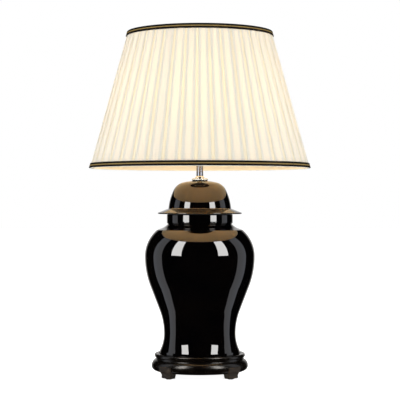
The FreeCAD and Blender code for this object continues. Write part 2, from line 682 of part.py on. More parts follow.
def holder_pieces():
    screws = terminal_screws()
    tip_top = "bulb_seal_low"
    return [holder_cap(), holder_body(), screws, switch_block(screws), switch_bar(), holder_ring(),
            tube("porcelain_disc", "tip_r", "block_r", "block_high", "porcelain_high"),
            tube("centre_contact", "0", "tip_r - 0.5", "block_high", "contact_high"),
            tube("screw_shell", "shell_bore", "shell_bore + shell_wall", "porcelain_high",
                 "shell_high"),
            bulb_glass(),
            turned("bulb_cap", [
                ("bulb_cap_r - 1.6", "bulb_cap_low"), ("bulb_cap_r", "bulb_cap_low + 2"),
                ("bulb_cap_r", "bulb_cap_high"), ("bulb_neck - 3", "bulb_cap_high"),
                ("bulb_neck - 3", "bulb_cap_low")]),
            turned("bulb_insulator", [
                ("0", tip_top), ("tip_r + 1", tip_top), ("bulb_cap_r - 1.6", "bulb_cap_low"),
                ("0", "bulb_cap_low")]),
            turned("bulb_contact", [
                ("0", "bulb_tip"), ("tip_r", tip_top, "tip_r*1.6"), ("0", tip_top)])]


# ---- carrier and shade ----

def bent_wire(name, points, radius, bend_radius, angle):
    """A round wire along two straight runs with one bend, in the upright plane at angle."""
    start, corner, end = (V(value(a), value(b), 0) for a, b in points)
    body = doc.addObject("PartDesign::Body", name)
    path = new_sketch(body, name + "_path", "XZ_Plane")
    before = (corner - start).normalize()
    after = (end - corner).normalize()
    turn = math.acos(before.dot(after))
    reach = value(bend_radius) * math.tan(turn / 2)
    way_in = corner - before * reach
    way_out = corner + after * reach
    side = math.copysign(value(bend_radius), before.cross(after).z)
    runs = [Part.LineSegment(start, way_in), arc_between(way_in, way_out, side),
            Part.LineSegment(way_out, end)]
    edges = [path.addGeometry(run) for run in runs]
    first, last = (1, 2) if side > 0 else (2, 1)
    path.addConstraint(Sketcher.Constraint("Tangent", edges[0], 2, edges[1], first))
    path.addConstraint(Sketcher.Constraint("Tangent", edges[1], last, edges[2], 1))
    index = path.addConstraint(Sketcher.Constraint("Radius", edges[1], abs(side)))
    path.setExpression(f"Constraints[{index}]", sized(bend_radius))
    for edge, vertex, (across, up) in ((edges[0], 1, points[0]), (edges[2], 2, points[2])):
        fix(path, "DistanceX", edge, vertex, across)
        fix(path, "DistanceY", edge, vertex, up)
    lean = math.degrees(math.atan2(after.x, after.y))
    index = path.addConstraint(
        Sketcher.Constraint("Angle", edges[2], math.radians(90 - lean)))
    section = body.newObject("Sketcher::SketchObject", name + "_section")
    section.AttachmentSupport = [(path, "Edge1")]
    section.MapMode = "NormalToEdge"
    section.MapPathParameter = 0
    doc.recompute()
    centre = section.getGlobalPlacement().inverse().multVec(V(start.x, 0, start.y))
    circle = section.addGeometry(Part.Circle(centre, V(0, 0, 1), value(radius)))
    index = section.addConstraint(Sketcher.Constraint("Radius", circle, value(radius)))
    section.setExpression(f"Constraints[{index}]", sized(radius))
    pipe = body.newObject("PartDesign::AdditivePipe", name + "_wire")
    pipe.Profile = section
    pipe.Spine = path
    doc.recompute()
    return place(body, angle)


def hoop(name, radius, wire, height):
    item = doc.addObject("Part::Torus", name)
    bind(item, Radius1=radius, Radius2=wire, Placement__Base__z=height)
    return item


TAPER = "((shade_low_r - shade_high_r) / (shade_high - shade_low))"
SLANT = f"sqrt(1 + {TAPER}^2)"


def shade_r(height, depth):
    """Radius of the shade at a height, at a depth inside the cloth's outer face."""
    return f"shade_low_r - ({height} - shade_low)*{TAPER} - ({depth})*{SLANT}"


def cone_shell(name, low, high, outer, inner):
    """A conical band between two heights and two depths."""
    return turned(name, [
        (shade_r(low, inner), low), (shade_r(low, outer), low),
        (shade_r(high, outer), high), (shade_r(high, inner), high)])


def carrier_pieces():
    rise = "(hoop_z - leg_knee)"
    top = (f"leg_foot + {rise}*tan(leg_lean)", "hoop_z")
    top_hoop = hoop("carrier_hoop", "hoop_r", "hoop_wire", "hoop_z")
    legs = []
    for number in range(round(value("leg_count"))):
        name = f"carrier_leg_{number + 1}"
        angle = 360 / value("leg_count") * number + 45
        points = [("leg_foot", "plate_high"), ("leg_foot", "leg_knee"), top]
        wire = bent_wire(name + "_wire", points, "leg_r", "leg_round", angle)
        legs.append(cut_with(name, wire, [top_hoop]))
    plate = tube("carrier_plate", "plate_bore", "plate_r", "plate_low", "plate_high")
    return [plate, *legs, top_hoop]


def shade_struts(rings):
    """Straight wires from the lower ring to the upper one, coped against both."""
    depth = "cloth_thick + wire_r"
    low, high = "shade_low + ring_inset", "shade_high - ring_inset"
    length = value(f"({high} - ({low}))*{SLANT}")
    lean = math.degrees(math.atan(value(TAPER)))
    struts = []
    for number in range(round(value("strut_count"))):
        turn = 360 / value("strut_count") * (number + 0.5)
        strut = doc.addObject("Part::Cylinder", f"strut_{number + 1}")
        bind(strut, Radius="strut_r")
        strut.Height = length
        out = value(shade_r(low, depth))
        spin = FreeCAD.Rotation(V(0, 0, 1), turn) * FreeCAD.Rotation(V(0, 1, 0), -lean)
        corner = FreeCAD.Rotation(V(0, 0, 1), turn).multVec(V(out, 0, value(low)))
        strut.Placement = FreeCAD.Placement(corner, spin)
        struts.append(strut)
    return cut_with("shade_struts", gather("strut_blanks", struts), rings)


def shade_seat_ring():
    """The shade's dropped ring: a flat with a skirt that centres it on the carrier's hoop."""
    top = "seat_ring_z + seat_ring_thick"
    skirt = "seat_ring_r - seat_ring_thick"
    return turned("shade_seat_ring", [
        ("seat_ring_bore", "seat_ring_z"), (skirt, "seat_ring_z"), (skirt, "seat_ring_skirt"),
        ("seat_ring_r", "seat_ring_skirt"), ("seat_ring_r", top), ("seat_ring_bore", top)])


def shade_pieces():
    ring_depth = "cloth_thick + wire_r"
    low, high = "shade_low + ring_inset", "shade_high - ring_inset"
    low_ring = hoop("shade_lower_ring", shade_r(low, ring_depth), "wire_r", low)
    high_ring = hoop("shade_upper_ring", shade_r(high, ring_depth), "wire_r", high)
    arms = []
    arm_z = "seat_ring_z + seat_ring_thick + arm_r"
    arm_reach = f"{shade_r(high, ring_depth)} - wire_r - arm_gap"
    corner = (f"{arm_reach} - ({high} - ({arm_z}))/tan(arm_lean)", arm_z)
    for number in range(round(value("arm_count"))):
        name = f"shade_arm_{number + 1}"
        angle = 360 / value("arm_count") * number + 90
        points = [("seat_ring_bore + 1", arm_z), corner, (arm_reach, high)]
        arms.append(bent_wire(name, points, "arm_r", "arm_round", angle))
    lining = "cloth_thick + 2*wire_r + 0.15"
    trim = f"trim_wide/({SLANT})"
    trim_low = "shade_low + trim_lift"
    return [low_ring, high_ring, shade_struts([low_ring, high_ring]), shade_seat_ring(), *arms,
            cone_shell("shade_cover", "shade_low", "shade_high", "0", "cloth_thick"),
            cone_shell("shade_lining", "shade_low + lining_inset", f"{high} - arm_r - lining_gap", lining,
                       f"{lining} + lining_thick"),
            cone_shell("lower_trim", trim_low, f"{trim_low} + {trim}", "-trim_thick", "0"),
            cone_shell("upper_trim", f"shade_high - {trim}", "shade_high", "-trim_thick", "0")]


def check(nodes):
    for item in doc.Objects:
        if "Invalid" in item.State or "Error" in item.State:
            raise ValueError(f"{item.Label} did not build: {item.State}")
    for item in nodes:
        if item.Shape.isNull() or not item.Shape.isValid():
            raise ValueError(f"{item.Label} has no valid shape")


def export(nodes):
    os.makedirs("parts", exist_ok=True)
    for item in nodes:
        item.Shape.exportStep(f"parts/{item.Label}.step")
        print(f"{item.Label:24s} {item.Shape.Volume / 1000:9.2f} cm3  {len(item.Shape.Solids)} solid(s)")


fill_sheet()
nodes = base_pieces() + stem_pieces() + holder_pieces() + carrier_pieces() + shade_pieces()
doc.recompute()
check(nodes)
export(nodes)
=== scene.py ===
import bpy
import json
import math
import random
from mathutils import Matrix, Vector, noise


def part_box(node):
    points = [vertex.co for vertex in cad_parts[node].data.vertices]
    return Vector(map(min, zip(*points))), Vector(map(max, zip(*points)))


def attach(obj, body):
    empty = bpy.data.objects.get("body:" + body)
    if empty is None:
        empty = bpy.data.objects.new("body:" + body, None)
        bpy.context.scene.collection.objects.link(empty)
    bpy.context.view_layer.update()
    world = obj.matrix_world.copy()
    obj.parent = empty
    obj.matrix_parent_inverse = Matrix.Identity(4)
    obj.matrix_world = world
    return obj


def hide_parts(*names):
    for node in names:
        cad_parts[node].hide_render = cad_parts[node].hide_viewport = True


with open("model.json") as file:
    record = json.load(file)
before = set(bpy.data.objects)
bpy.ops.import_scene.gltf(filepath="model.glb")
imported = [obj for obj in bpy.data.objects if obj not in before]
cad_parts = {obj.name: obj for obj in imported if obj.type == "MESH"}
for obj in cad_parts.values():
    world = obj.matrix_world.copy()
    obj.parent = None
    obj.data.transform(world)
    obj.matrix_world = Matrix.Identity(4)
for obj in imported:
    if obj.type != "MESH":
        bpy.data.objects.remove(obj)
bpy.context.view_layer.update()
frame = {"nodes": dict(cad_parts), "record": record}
nodes = frame["nodes"]
scene = bpy.context.scene
print("frame loaded:", len(nodes), "pieces")


# small helpers for node trees

wavePeriod = 0.314  # a wave texture's period in metres at scale 1


def addNode(tree, kind, sockets=None, **settings):
    item = tree.nodes.new(kind)
    for name, value in settings.items():
        setattr(item, name, value)
    for name, value in (sockets or {}).items():
        if isinstance(value, bpy.types.NodeSocket):
            tree.links.new(value, item.inputs[name])
        else:
            item.inputs[name].default_value = value
    return item


def startFinish(name, **sockets):
    mat = bpy.data.materials.new(name)
    mat.use_nodes = True
    shader = mat.node_tree.nodes["Principled BSDF"]
    for socket, value in sockets.items():
        shader.inputs[socket.replace("_", " ")].default_value = value
    return mat, mat.node_tree, shader


def stretched(tree, output, stretch):
    place = addNode(tree, "ShaderNodeTexCoord").outputs[output]
    return addNode(tree, "ShaderNodeMapping", {"Vector": place, "Scale": stretch}).outputs[0]


def placeOf(tree, stretch=(1, 1, 1)):  # where a point is on the lamp, stretched for grain
    return stretched(tree, "Object", stretch)


def clothPlace(tree, stretch=(1, 1, 1)):  # the cloth's own width and length, in metres
    return stretched(tree, "UV", stretch)


def grain(tree, place, scale, detail=4, rough=0.5, twist=0):
    sockets = {"Vector": place, "Scale": scale, "Detail": detail, "Roughness": rough, "Distortion": twist}
    return addNode(tree, "ShaderNodeTexNoise", sockets).outputs["Fac"]


def waves(tree, place, scale, wander, direction):
    sockets = {"Vector": place, "Scale": scale, "Distortion": wander}
    return addNode(tree, "ShaderNodeTexWave", sockets, bands_direction=direction).outputs["Fac"]


def tint(tree, factor, *stops):  # colours along a ramp, each stop (position, colour)
    ramp = addNode(tree, "ShaderNodeValToRGB", {"Fac": factor})
    marks = ramp.color_ramp.elements
    for mark, (position, colour) in ((marks[0], stops[0]), (marks[-1], stops[-1])):
        mark.position = position
        mark.color = (*colour, 1)
    for position, colour in stops[1:-1]:
        marks.new(position).color = (*colour, 1)
    return ramp.outputs["Color"]


def cloudy(tree, factor, low, high):  # the usual two-colour ramp over a noise
    return tint(tree, factor, (0.3, low), (0.7, high))


def blend(tree, factor, first, second, kind="MIX"):
    sockets = {"Factor": factor, "A": first, "B": second}
    return addNode(tree, "ShaderNodeMix", sockets, data_type="RGBA", blend_type=kind).outputs["Result"]


def spread(tree, factor, low, high):
    return addNode(tree, "ShaderNodeMapRange", {"Value": factor, "To Min": low, "To Max": high}).outputs[0]


def maths(tree, operation, first, second):
    return addNode(tree, "ShaderNodeMath", {0: first, 1: second}, operation=operation).outputs[0]


def relief(tree, height, strength, distance, under=None):
    sockets = {"Height": height, "Strength": strength, "Distance": distance}
    if under:
        sockets["Normal"] = under
    return addNode(tree, "ShaderNodeBump", sockets).outputs[0]


def darker(colour, share):
    return tuple(part * share for part in colour)


# finishes of the hard parts

glaze = {
    "deep": (0.0004, 0.0004, 0.0006),
    "thin": (0.0014, 0.0010, 0.0009),  # where the glaze is thinner over the clay
    "thinSpots": (0.35, 0.7, 14),      # where the thin colour starts and ends, and how fine it is
    "polish": (0.008, 0.028),          # roughness, least and most
    "polishSize": 60,
    "shine": 2.0,                      # how strongly the glassy skin bends light
    "warmth": (1.0, 0.79, 0.60),       # an iron black glaze mirrors a little brown
    "drift": (7, 0.06, 0.01),          # slow waves in the surface: fineness, strength, depth
    "orangePeel": (260, 0.012, 0.0006),
}


def blackGlaze():
    mat, tree, shader = startFinish("blackGlaze", IOR=glaze["shine"], Specular_Tint=(*glaze["warmth"], 1))
    place = placeOf(tree)
    start, end, cloudSize = glaze["thinSpots"]
    cloud = grain(tree, place, cloudSize, 5)
    colour = tint(tree, cloud, (start, glaze["deep"]), (end, glaze["thin"]))
    tree.links.new(colour, shader.inputs["Base Color"])
    polish = spread(tree, grain(tree, place, glaze["polishSize"], 3), *glaze["polish"])
    tree.links.new(polish, shader.inputs["Roughness"])
    skin = None
    for size, strength, depth in (glaze["drift"], glaze["orangePeel"]):
        skin = relief(tree, grain(tree, place, size, 2), strength, depth, skin)
    tree.links.new(skin, shader.inputs["Normal"])
    return mat


turnedWood = {
    "dark": (0.0006, 0.0004, 0.0003), "light": (0.003, 0.0019, 0.0012), "worn": (0.016, 0.012, 0.008),
    "gloss": 0.1, "wear": 0.3, "shine": 1.7, "warmth": (1.0, 0.76, 0.54)}
carvedWood = {
    "dark": (0.006, 0.004, 0.0028), "light": (0.026, 0.018, 0.012), "worn": (0.08, 0.058, 0.034),
    "gloss": 0.3, "wear": 0.85, "shine": 1.5, "warmth": (1.0, 0.76, 0.52)}
woodGrain = {
    "streaks": (3, 38, 60), "streakSize": 2.2, "streakDepth": (0.12, 0.0005),
    "pores": (30, 420, 420), "poreSize": 2, "poreDepth": (0.25, 0.0003),
    "rubbedSize": 55, "rubbedFrom": 0.56, "rubbedTo": 0.72,
    "dulling": 0.25,  # how much rougher the rubbed wood is
}


def stainedWood(name, look):
    mat, tree, shader = startFinish(name, IOR=look["shine"], Specular_Tint=(*look["warmth"], 1))
    streaks = grain(tree, placeOf(tree, woodGrain["streaks"]), woodGrain["streakSize"], 6, 0.6, 0.8)
    pores = grain(tree, placeOf(tree, woodGrain["pores"]), woodGrain["poreSize"], 3, 0.7)
    wood = tint(tree, streaks, (0.3, look["dark"]), (0.62, look["light"]), (0.8, look["dark"]))
    rubbed = grain(tree, placeOf(tree), woodGrain["rubbedSize"], 5, 0.65)
    patches = addNode(tree, "ShaderNodeMapRange", {
        "Value": rubbed, "From Min": woodGrain["rubbedFrom"], "From Max": woodGrain["rubbedTo"],
        "To Max": look["wear"]}).outputs[0]
    tree.links.new(blend(tree, patches, wood, (*look["worn"], 1)), shader.inputs["Base Color"])
    dulled = spread(tree, rubbed, look["gloss"], look["gloss"] + woodGrain["dulling"])
    tree.links.new(dulled, shader.inputs["Roughness"])
    figure = relief(tree, streaks, *woodGrain["streakDepth"])
    tree.links.new(relief(tree, pores, *woodGrain["poreDepth"], figure), shader.inputs["Normal"])
    return mat


metals = {  # colour, roughness and how deep the turning lines are
    # painted shade and light: the nickel inside the shade is darkened for the shade that keeps the
    # softboxes off it, and its lit copy is brighter and warmer
    "shadedNickel": ((0.33, 0.30, 0.28), 0.17, 0.006),
    "litNickel": ((0.86, 0.80, 0.66), 0.14, 0.006),
    "zincSteel": ((0.55, 0.55, 0.54), 0.32, 0.1),
    "plainBrass": ((0.72, 0.53, 0.24), 0.25, 0.1),
    "carrierBrass": ((0.76, 0.60, 0.33), 0.22, 0.0),
    "bulbAluminium": ((0.78, 0.78, 0.78), 0.25, 0.0),
}
metalSkin = {
    "tarnish": 0.86,            # how much of the colour its duller clouds keep
    "smearSize": 90,
    "smearPolish": (0.7, 1.5),  # least and most roughness, as shares of the metal's own
    "turningSize": 420,
    "turningWander": 0.4,
    "turningDepth": 0.0002,
}


def plainMetal(name, colour, rough, lathe):
    mat, tree, shader = startFinish(name, Metallic=1.0)
    place = placeOf(tree)
    smear = grain(tree, place, metalSkin["smearSize"], 4)
    tarnished = cloudy(tree, smear, darker(colour, metalSkin["tarnish"]), colour)
    tree.links.new(tarnished, shader.inputs["Base Color"])
    least, most = metalSkin["smearPolish"]
    tree.links.new(spread(tree, smear, rough * least, rough * most), shader.inputs["Roughness"])
    rings = waves(tree, place, metalSkin["turningSize"], metalSkin["turningWander"], "Z")
    tree.links.new(relief(tree, rings, lathe, metalSkin["turningDepth"]), shader.inputs["Normal"])
    return mat


mouldings = {  # colour, roughness and how much of the colour its darker clouds keep
    "whiteEnamel": ((0.86, 0.85, 0.81), 0.35, 0.85),
    "bakelite": ((0.03, 0.022, 0.018), 0.22, 0.85),
    "ivoryPlastic": ((0.82, 0.78, 0.68), 0.25, 0.93),
    "softRubber": ((0.02, 0.02, 0.021), 0.6, 0.85),
    "barePorcelain": ((0.84, 0.82, 0.77), 0.5, 0.93),
}
mouldedSkin = {"cloudSize": 120, "roughening": 0.15, "pitSize": 900, "pits": (0.08, 0.0003)}


def moulded(name, colour, rough, mottle):
    mat, tree, shader = startFinish(name)
    place = placeOf(tree)
    cloud = grain(tree, place, mouldedSkin["cloudSize"], 4)
    tree.links.new(cloudy(tree, cloud, darker(colour, mottle), colour), shader.inputs["Base Color"])
    roughened = spread(tree, cloud, rough, rough + mouldedSkin["roughening"])
    tree.links.new(roughened, shader.inputs["Roughness"])
    pits = grain(tree, place, mouldedSkin["pitSize"], 2)
    tree.links.new(relief(tree, pits, *mouldedSkin["pits"]), shader.inputs["Normal"])
    return mat


felt = {"colour": (0.03, 0.034, 0.03), "between": 0.6, "fibreSize": 700, "fuzz": (0.6, 0.0006)}


def pressedFelt():
    mat, tree, shader = startFinish("pressedFelt", Roughness=0.95, Sheen_Weight=0.5, Sheen_Roughness=0.6)
    fibres = grain(tree, placeOf(tree), felt["fibreSize"], 5, 0.75, 1.5)
    colour = cloudy(tree, fibres, darker(felt["colour"], felt["between"]), felt["colour"])
    tree.links.new(colour, shader.inputs["Base Color"])
    tree.links.new(relief(tree, fibres, *felt["fuzz"]), shader.inputs["Normal"])
    return mat


bulb = {
    "glow": 0.75,  # how bright the glass looks, apart from the light it gives
    "glowColours": ((1.0, 0.80, 0.50), (1.0, 0.86, 0.58)),
    "glassColours": ((0.85, 0.80, 0.72), (0.92, 0.88, 0.80)),
    "cloudSize": 40,
    "wall": 0.0015,  # how far the light stays inside the glass
    "power": 2.05,
    "colour": (1.0, 0.84, 0.62),
}


def opalGlass():
    look = {"Roughness": 0.25, "Coat_Weight": 0.5, "Emission_Strength": bulb["glow"]}
    mat, tree, shader = startFinish("opalGlass", **look)
    cloud = grain(tree, placeOf(tree), bulb["cloudSize"], 3)
    for socket, colours in (("Emission Color", bulb["glowColours"]), ("Base Color", bulb["glassColours"])):
        tree.links.new(cloudy(tree, cloud, *colours), shader.inputs[socket])
    return mat


slotFinishes = {
    "stand_wood": "turnedWood", "foot_wood": "carvedWood", "felt": "pressedFelt",
    "screw_steel": "zincSteel", "rod_steel": "zincSteel", "grommet": "bakelite", "rubber": "softRubber",
    "black_glaze": "blackGlaze", "nickel": "shadedNickel", "holder_metal": "shadedNickel",
    "switch_plastic": "ivoryPlastic", "block_plastic": "bakelite", "porcelain": "barePorcelain",
    "contact_brass": "plainBrass", "bulb_glass": "opalGlass", "bulb_cap": "bulbAluminium",
    "carrier_wire": "carrierBrass", "frame_wire": "whiteEnamel",
}
pieceFinishes = {"nickel_cap": "litNickel", "stem_cone": "litNickel"}  # painted light: a brighter, warmer copy of the nickel for the light the shade's lining throws down on these


def finishPieces():
    made = [plainMetal(name, *look) for name, look in metals.items()]
    made += [moulded(name, *look) for name, look in mouldings.items()]
    made += [blackGlaze(), stainedWood("turnedWood", turnedWood), stainedWood("carvedWood", carvedWood),
             pressedFelt(), opalGlass()]
    finishes = {mat.name: mat for mat in made}
    for part in frame["record"]["subparts"]:
        finish = pieceFinishes.get(part["node"], slotFinishes.get(part["material_slot"]))
        if finish:
            for slot in nodes[part["node"]].material_slots:
                slot.material = finishes[finish]
    print("finishes on", len(slotFinishes), "kinds of part")


# feet: the sawn blocks with their edges eased by hand

feet = {
    "voxel": 0.0008,    # fineness of the carving, metres
    "easing": 0.6,      # how much each smoothing pass takes off
    "passes": 7,
    "knee": 0.0145,     # height where the foot meets the ring
    "fuller": 0.19,     # how much wider the ankle is carved
    "narrower": 0.08,   # how much the toe is sawn away at each side
    "forward": 0.0027,  # how far the ankle's face is brought out
    "lean": 1.6,        # keeps the fullness up near the knee
}


def fillAnkle(mesh, outX, outY):  # a straight taper from knee to toe, without a waist
    reach = [point.co.x * outX + point.co.y * outY for point in mesh.vertices]
    inner, outer = min(reach), max(reach)
    for point, out in zip(mesh.vertices, reach):
        rise = max(0, point.co.z) / feet["knee"]
        if rise < 1:
            swell = math.sin(math.pi * rise ** feet["lean"])
            wider = 1 + feet["fuller"] * swell - feet["narrower"] * (1 - rise)
            side = (point.co.y * outX - point.co.x * outY) * wider
            out += feet["forward"] * swell * (out - inner) / (outer - inner)
            point.co.x, point.co.y = out * outX - side * outY, out * outY + side * outX


def carveFeet():
    for corner in ("front_left", "front_right", "rear_right", "rear_left"):
        node = nodes["foot_" + corner]
        low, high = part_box("foot_" + corner)
        middle = Vector((low[0] + high[0], low[1] + high[1])).normalized()
        foot = bpy.data.objects.new("carvedFoot_" + corner, node.data.copy())
        scene.collection.objects.link(foot)
        carve = foot.modifiers.new("carve", "REMESH")
        carve.mode, carve.voxel_size = "VOXEL", feet["voxel"]
        ease = foot.modifiers.new("ease", "SMOOTH")
        ease.factor, ease.iterations = feet["easing"], feet["passes"]
        worked = bpy.data.meshes.new_from_object(foot.evaluated_get(bpy.context.evaluated_depsgraph_get()))
        foot.modifiers.clear()
        foot.data = worked
        fillAnkle(worked, middle.x, middle.y)
        for face in worked.polygons:
            face.use_smooth = True
        worked.materials.clear()
        worked.materials.append(node.material_slots[0].material)
        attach(foot, "base")
        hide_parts("foot_" + corner)
    print("feet carved")


# the shade's cloth and ribbon

cloth = {
    "threadSize": 0.00042,            # spacing of the threads, metres
    "threadWander": 0.6,
    "threadDepth": (0.35, 0.00012),
    "slub": 0.10,                     # how uneven the threads are
    "slubStretch": (14, 900),         # along and across a thread
    "pleatColour": (0.985, 0.91, 0.825),
    "pleatGlow": (0.80, 0.89, 0.92),
    "pleatThrough": 0.46,             # share of light that goes through one layer
    "recess": (1.0, 0.985, 0.87),     # painted shade: what the gaps between the flats keep of that colour, darker and yellower
    "liningColour": (0.80, 0.74, 0.58),
    "liningGlow": (1.0, 0.78, 0.50),
    "liningThrough": 0.45,
    "liningSlub": 0.06,
    "liningInside": 0.0035,           # how far the lining hangs inside the frame's wires
    "liningShort": 0.0008,            # how far below the shade's top it is sewn down
}


def wovenCloth(name, colour, glow, through, slub, recessColour=None):
    mat, tree, shader = startFinish(name, Roughness=0.85, Sheen_Weight=0.25, Sheen_Roughness=0.45)
    shader.inputs["Specular IOR Level"].default_value = 0.25
    place = clothPlace(tree)
    scale = wavePeriod / cloth["threadSize"]
    warp, weft = (waves(tree, place, scale, cloth["threadWander"], way) for way in "XY")
    along, across = cloth["slubStretch"]
    weftSlub = grain(tree, clothPlace(tree, (along, across, 1)), 1.0, 3)
    warpSlub = grain(tree, clothPlace(tree, (across, along, 1)), 1.0, 3)
    weave = maths(tree, "MULTIPLY", maths(tree, "ADD", warp, weftSlub), maths(tree, "ADD", weft, warpSlub))
    evened = maths(tree, "MULTIPLY", weave, 0.5)
    dyed = tint(tree, evened, (0.1, darker(colour, 1 - slub)), (0.7, colour))
    if recessColour:  # painted shade: the cloth is tinted yellower down between the flats, for the shade and the warm light through the single cloth there
        recess = addNode(tree, "ShaderNodeAttribute", attribute_name="recess").outputs["Fac"]
        dyed = blend(tree, 1.0, dyed, blend(tree, recess, (1, 1, 1, 1), (*recessColour, 1)), "MULTIPLY")
    tree.links.new(dyed, shader.inputs["Base Color"])
    bumped = relief(tree, weave, *cloth["threadDepth"])
    tree.links.new(bumped, shader.inputs["Normal"])
    threads = tint(tree, evened, (0.1, darker(glow, 1 - slub)), (0.7, glow))
    lit = addNode(tree, "ShaderNodeBsdfTranslucent", {"Color": threads, "Normal": bumped})
    mixed = addNode(tree, "ShaderNodeMixShader", {0: through, 1: shader.outputs[0], 2: lit.outputs[0]})
    tree.links.new(mixed.outputs[0], tree.nodes["Material Output"].inputs["Surface"])
    return mat


trim = {
    "black": (0.0022, 0.0014, 0.001),
    "gold": (0.32, 0.215, 0.07),
    "shadow": (0.012, 0.008, 0.004),  # what shows down between the ribs
    "goldWide": 0.2,                  # share of the width that is gold
    "edgeSoft": 0.01,
    "edgeFray": 0.05,
    "ribSize": 0.0011,                # spacing of the ribs, metres
    "ribWander": 1.2,
    "ribShadow": 0.35,
    "ribDepth": (0.6, 0.0004),
    "cords": 3,                       # side by side across the width
    "cordRound": 0.6,
    "ridgeHeight": 0.0006,            # how far each stripe stands up from the grooves beside it
    "lies": 0.0014,                   # how far the ribbon's back is outside the frame's wires
    "thick": 0.0016,
    "back": 0.0004,
    "rows": 19,
    "around": 480,
}


def stripedRibbon():
    mat, tree, shader = startFinish("stripedRibbon", Roughness=0.6)
    shader.inputs["Specular IOR Level"].default_value = 0.06
    place = clothPlace(tree)
    across = addNode(tree, "ShaderNodeSeparateXYZ", {0: place}).outputs["Y"]  # 0 to 1 over the width
    ribs = waves(tree, place, wavePeriod / trim["ribSize"], trim["ribWander"], "X")
    fuzz = maths(tree, "SUBTRACT", grain(tree, clothPlace(tree, (900, 40, 1)), 1.0, 3), 0.5)
    frayed = maths(tree, "ADD", across, maths(tree, "MULTIPLY", fuzz, trim["edgeFray"]))
    edge, soft = (1 - trim["goldWide"]) / 2, trim["edgeSoft"]
    stripe = tint(tree, frayed, (edge - soft, trim["black"]), (edge + soft, trim["gold"]),
                  (1 - edge - soft, trim["gold"]), (1 - edge + soft, trim["black"]))
    shadow = maths(tree, "MULTIPLY", ribs, trim["ribShadow"])
    tree.links.new(blend(tree, shadow, stripe, (*trim["shadow"], 1)), shader.inputs["Base Color"])
    tree.links.new(relief(tree, ribs, *trim["ribDepth"]), shader.inputs["Normal"])
    return mat


shade = {
    "pleats": 43,
    "firstGap": 0.35,   # where the first gap lies, degrees round from the right-hand side
    "gap": 0.2,         # share of a pleat's pitch that is left open between two flats
    "underlap": 0.2,    # how far the cloth goes in under each side of a flat
    "layer": 0.0003,    # spacing of the layers under a flat, metres
    "rows": 30,
    "wander": 0.03,     # how far a fold strays along its length, as a share of a pleat
    "wanderSize": 1.7,
    "uneven": 0.025,    # how much the flats differ in width
    "belly": 0.0005,    # how far the single cloth sags in between two flats
    "proud": 0.00085,   # how far a flat stands outside the frame's wires
    "seed": 11,
}


def shadeCone():
    # the cloth lies on the frame's two rings, so its cone comes from them
    low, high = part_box("shade_lower_ring"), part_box("shade_upper_ring")
    wire = (low[1][2] - low[0][2]) / 2
    lowZ, highZ = low[1][2] - wire, high[1][2] - wire
    taper = ((low[1][0] - wire) - (high[1][0] - wire)) / (highZ - lowZ)
    slant = math.sqrt(1 + taper * taper)
    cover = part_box("shade_cover")

    def radius(z, outward=0.0):
        return low[1][0] - wire + (wire + outward) * slant - (z - lowZ) * taper
    return {"radius": radius, "low": cover[0][2], "high": cover[1][2], "slant": slant}


cone = shadeCone()


def onCone(angle, z, outward):
    radius = cone["radius"](z, outward)
    return radius * math.cos(angle), radius * math.sin(angle), z


def hoopFaces(columns, rows):  # faces of a sheet that closes on itself all round
    step = rows + 1
    faces = []
    for column in range(columns):
        after = (column + 1) % columns
        for row in range(rows):
            a, b = column * step + row, after * step + row
            faces.append((a, b, b + 1, a + 1))
    return faces


def meshPiece(name, verts, faces, smooth=True):
    mesh = bpy.data.meshes.new(name)
    mesh.from_pydata(verts, [], faces)
    for face in mesh.polygons:
        face.use_smooth = smooth
    mesh.update()
    piece = bpy.data.objects.new(name, mesh)
    scene.collection.objects.link(piece)
    return piece


def clothPiece(name, verts, faces, uvs, material, wide):
    piece = meshPiece(name, verts, faces)
    mesh = piece.data
    layer = mesh.uv_layers.new(name="cloth")
    for face in mesh.polygons:
        corners = [uvs[mesh.loops[index].vertex_index] for index in face.loop_indices]
        seam = max(u for u, v in corners) > wide * 0.75  # the last column joins the first
        for index, (u, v) in zip(face.loop_indices, corners):
            layer.data[index].uv = (u + wide if seam and u < wide * 0.25 else u, v)
    mesh.materials.append(material)
    return piece


def pleatSection():
    # one box pleat from gap to gap as (share of the pitch, layers down): in under the flat's
    # left half, back out, over the top, in under its right half and out again
    edge = shade["gap"] / 2
    inner = edge + shade["underlap"]
    turn, crease = 0.02, 0.012  # how wide the cloth bends inside a fold and at a flat's edge
    left = [(0.0, 2), (edge * 0.6, 2), (edge + turn, 2), (inner - 0.08, 2), (inner - turn, 2), (inner, 1.5),
            (inner - turn, 1), (inner - 0.1, 1), (edge + crease, 0.98), (edge, 0.5), (edge + crease, 0.03),
            (inner - 0.06, 0), (inner + 0.04, 0)]
    right = [(1 - share, down) for share, down in reversed(left[1:])]
    return left + [(0.5, 0)] + right


